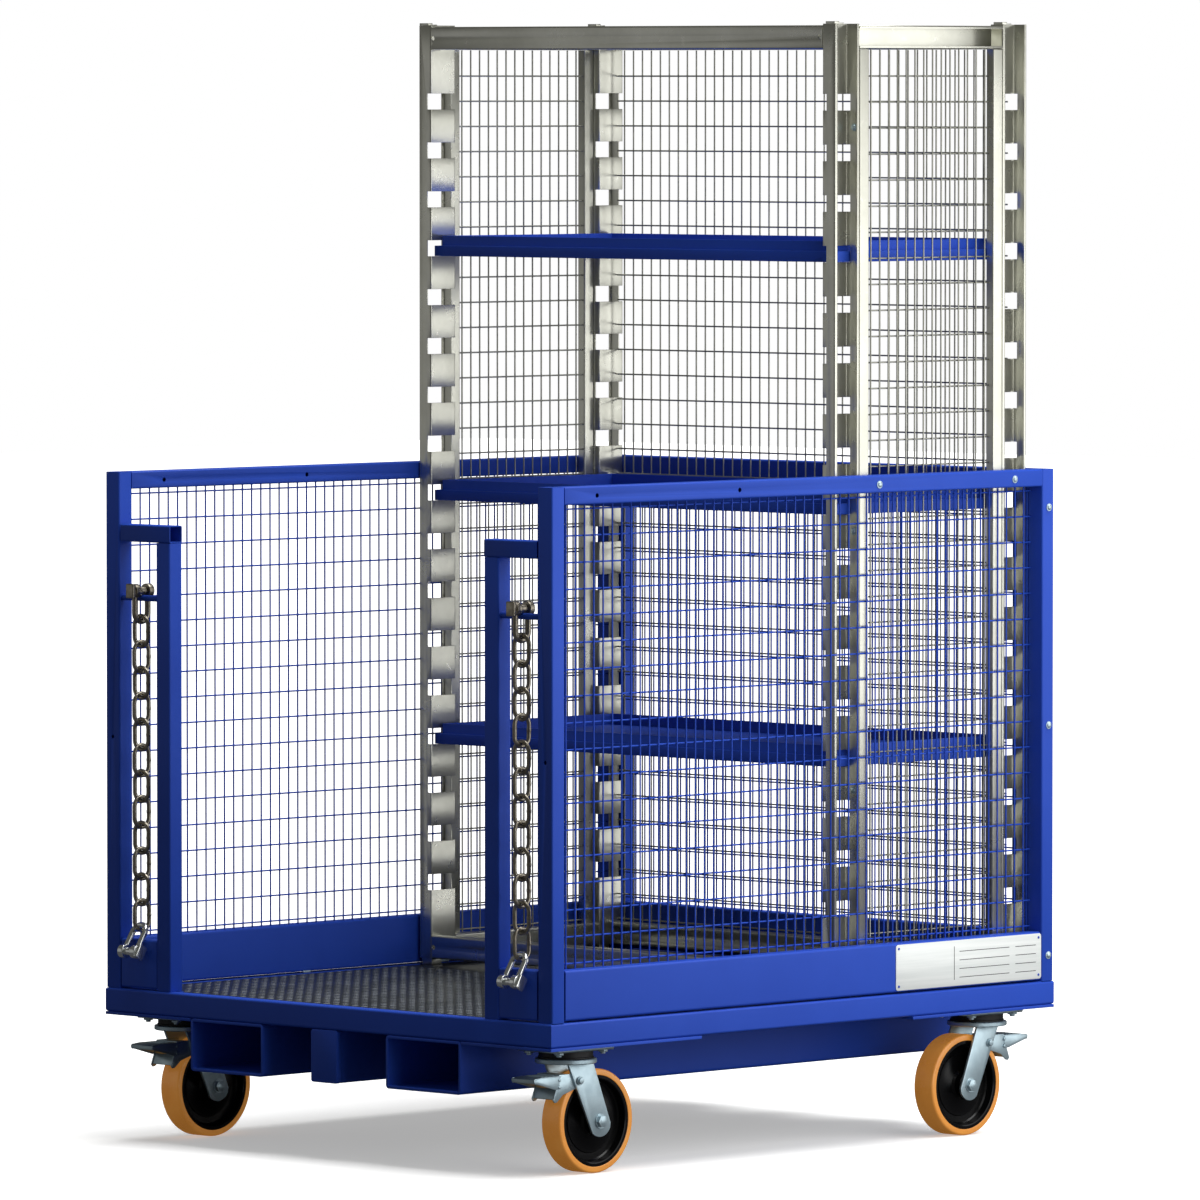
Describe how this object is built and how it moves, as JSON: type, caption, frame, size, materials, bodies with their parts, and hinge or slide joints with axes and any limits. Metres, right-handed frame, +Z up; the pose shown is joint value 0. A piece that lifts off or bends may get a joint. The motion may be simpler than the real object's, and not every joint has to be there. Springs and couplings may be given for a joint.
{
  "type": "order picking cage on castors",
  "caption": "Steel order picking cage on braked swivel castors: base with fork pockets, mesh guard panels, chained entry wings and a tall goods cage with pull-out shelves.",
  "frame": {"origin": "centre of the bounding box on the floor under the wheels", "axes": "+X to the right for someone standing outside and facing the entry, +Y from the entry to the back, +Z up"},
  "size_m": [1.2408, 1.46, 2.199],
  "materials": {
    "blue_powder_coat": "satin powder coat",
    "galvanised_steel": "hot-dip galvanised, dull",
    "deck_steel": "chequer plate, dark",
    "zinc_plate": "bright zinc plate",
    "chain_steel": "dull plain steel",
    "nameplate_alu": "brushed sheet",
    "wheel_core": "moulded, black",
    "wheel_tyre": "orange polyurethane"
  },
  "bodies": {
    "cage": {"end_channels": "blue_powder_coat", "side_channels": "blue_powder_coat", "left_fork_pocket": "blue_powder_coat", "right_fork_pocket": "blue_powder_coat", "centre_beam": "blue_powder_coat", "castor_mount_plates": "blue_powder_coat", "deck_bearers": "blue_powder_coat", "left_panel_frame": "blue_powder_coat", "right_panel_frame": "blue_powder_coat", "side_kick_plates": "blue_powder_coat", "left_panel_mesh": "blue_powder_coat", "right_panel_mesh": "blue_powder_coat", "back_panel_frame": "blue_powder_coat", "back_kick_plate": "blue_powder_coat", "back_panel_mesh": "blue_powder_coat", "left_wing_frame": "blue_powder_coat", "right_wing_frame": "blue_powder_coat", "wing_kick_plates": "blue_powder_coat", "chain_bars": "blue_powder_coat", "front_posts": "galvanised_steel", "rear_posts": "galvanised_steel", "goods_top_rails": "galvanised_steel", "goods_bottom_rails": "galvanised_steel", "post_caps": "galvanised_steel", "goods_side_frames": "galvanised_steel", "goods_left_mesh": "galvanised_steel", "goods_right_mesh": "galvanised_steel", "goods_back_mesh": "galvanised_steel", "deck_plate": "deck_steel", "frame_bolts": "zinc_plate", "castor_top_plates": "zinc_plate", "nameplate": "nameplate_alu"},
    "front_left_castor": {"front_left_fork": "zinc_plate"},
    "front_left_wheel": {"front_left_core": "wheel_core", "front_left_tyre": "wheel_tyre"},
    "front_left_brake": {"front_left_pedal": "zinc_plate"},
    "front_right_castor": {"front_right_fork": "zinc_plate"},
    "front_right_wheel": {"front_right_core": "wheel_core", "front_right_tyre": "wheel_tyre"},
    "front_right_brake": {"front_right_pedal": "zinc_plate"},
    "rear_left_castor": {"rear_left_fork": "zinc_plate"},
    "rear_left_wheel": {"rear_left_core": "wheel_core", "rear_left_tyre": "wheel_tyre"},
    "rear_left_brake": {"rear_left_pedal": "zinc_plate"},
    "rear_right_castor": {"rear_right_fork": "zinc_plate"},
    "rear_right_wheel": {"rear_right_core": "wheel_core", "rear_right_tyre": "wheel_tyre"},
    "rear_right_brake": {"rear_right_pedal": "zinc_plate"},
    "top_shelf": {"top_shelf": "blue_powder_coat"},
    "middle_shelf": {"middle_shelf": "blue_powder_coat"},
    "bottom_shelf": {"bottom_shelf": "blue_powder_coat"},
    "left_upper_chain": {"left_top_shackle": "chain_steel", "left_upper_links": "chain_steel"},
    "left_lower_chain": {"left_lower_links": "chain_steel"},
    "left_chain_end": {"left_end_shackle": "zinc_plate"},
    "right_upper_chain": {"right_top_shackle": "chain_steel", "right_upper_links": "chain_steel"},
    "right_lower_chain": {"right_lower_links": "chain_steel"},
    "right_chain_end": {"right_end_shackle": "zinc_plate"}
  },
  "joints": [
    {"name": "front_left_swivel", "type": "hinge", "parent": "cage", "child": "front_left_castor", "pos_m": [-0.5265, -0.565, 0.214], "axis": [0, 0, 1], "continuous": true},
    {"name": "front_left_roll", "type": "hinge", "parent": "front_left_castor", "child": "front_left_wheel", "pos_m": [-0.5265, -0.50701, 0.1], "axis": [1, 0, 0], "continuous": true},
    {"name": "front_left_brake_pedal", "type": "hinge", "parent": "front_left_castor", "child": "front_left_brake", "pos_m": [-0.5265, -0.563, 0.181], "axis": [1, 0, 0], "range_deg": [0, 12]},
    {"name": "front_right_swivel", "type": "hinge", "parent": "cage", "child": "front_right_castor", "pos_m": [0.5265, -0.565, 0.214], "axis": [0, 0, 1], "continuous": true},
    {"name": "front_right_roll", "type": "hinge", "parent": "front_right_castor", "child": "front_right_wheel", "pos_m": [0.5265, -0.50701, 0.1], "axis": [1, 0, 0], "continuous": true},
    {"name": "front_right_brake_pedal", "type": "hinge", "parent": "front_right_castor", "child": "front_right_brake", "pos_m": [0.5265, -0.563, 0.181], "axis": [1, 0, 0], "range_deg": [0, 12]},
    {"name": "rear_left_swivel", "type": "hinge", "parent": "cage", "child": "rear_left_castor", "pos_m": [-0.5265, 0.59999, 0.214], "axis": [0, 0, 1], "continuous": true},
    {"name": "rear_left_roll", "type": "hinge", "parent": "rear_left_castor", "child": "rear_left_wheel", "pos_m": [-0.5265, 0.542, 0.1], "axis": [1, 0, 0], "continuous": true},
    {"name": "rear_left_brake_pedal", "type": "hinge", "parent": "rear_left_castor", "child": "rear_left_brake", "pos_m": [-0.5265, 0.598, 0.181], "axis": [-1, 0, 0], "range_deg": [0, 12]},
    {"name": "rear_right_swivel", "type": "hinge", "parent": "cage", "child": "rear_right_castor", "pos_m": [0.5265, 0.59999, 0.214], "axis": [0, 0, 1], "continuous": true},
    {"name": "rear_right_roll", "type": "hinge", "parent": "rear_right_castor", "child": "rear_right_wheel", "pos_m": [0.5265, 0.542, 0.1], "axis": [1, 0, 0], "continuous": true},
    {"name": "rear_right_brake_pedal", "type": "hinge", "parent": "rear_right_castor", "child": "rear_right_brake", "pos_m": [0.5265, 0.598, 0.181], "axis": [-1, 0, 0], "range_deg": [0, 12]},
    {"name": "top_shelf_slide", "type": "slide", "parent": "cage", "child": "top_shelf", "axis": [0, -1, 0], "range_m": [0, 0.52]},
    {"name": "middle_shelf_slide", "type": "slide", "parent": "cage", "child": "middle_shelf", "axis": [0, -1, 0], "range_m": [0, 0.52]},
    {"name": "bottom_shelf_slide", "type": "slide", "parent": "cage", "child": "bottom_shelf", "axis": [0, -1, 0], "range_m": [0, 0.52]},
    {"name": "left_chain_swing", "type": "hinge", "parent": "cage", "child": "left_upper_chain", "pos_m": [-0.524, -0.682, 1.07], "axis": [-1, 0, 0], "range_deg": [0, 60]},
    {"name": "left_chain_bend", "type": "hinge", "parent": "left_upper_chain", "child": "left_lower_chain", "pos_m": [-0.524, -0.682, 0.67045], "axis": [-1, 0, 0], "range_deg": [0, 60]},
    {"name": "left_shackle_swing", "type": "hinge", "parent": "left_lower_chain", "child": "left_chain_end", "pos_m": [-0.524, -0.682, 0.427], "axis": [-1, 0, 0], "range_deg": [0, 60]},
    {"name": "right_chain_swing", "type": "hinge", "parent": "cage", "child": "right_upper_chain", "pos_m": [0.524, -0.682, 1.07], "axis": [-1, 0, 0], "range_deg": [0, 60]},
    {"name": "right_chain_bend", "type": "hinge", "parent": "right_upper_chain", "child": "right_lower_chain", "pos_m": [0.524, -0.682, 0.67045], "axis": [-1, 0, 0], "range_deg": [0, 60]},
    {"name": "right_shackle_swing", "type": "hinge", "parent": "right_lower_chain", "child": "right_chain_end", "pos_m": [0.524, -0.682, 0.427], "axis": [-1, 0, 0], "range_deg": [0, 60]}
  ]
}
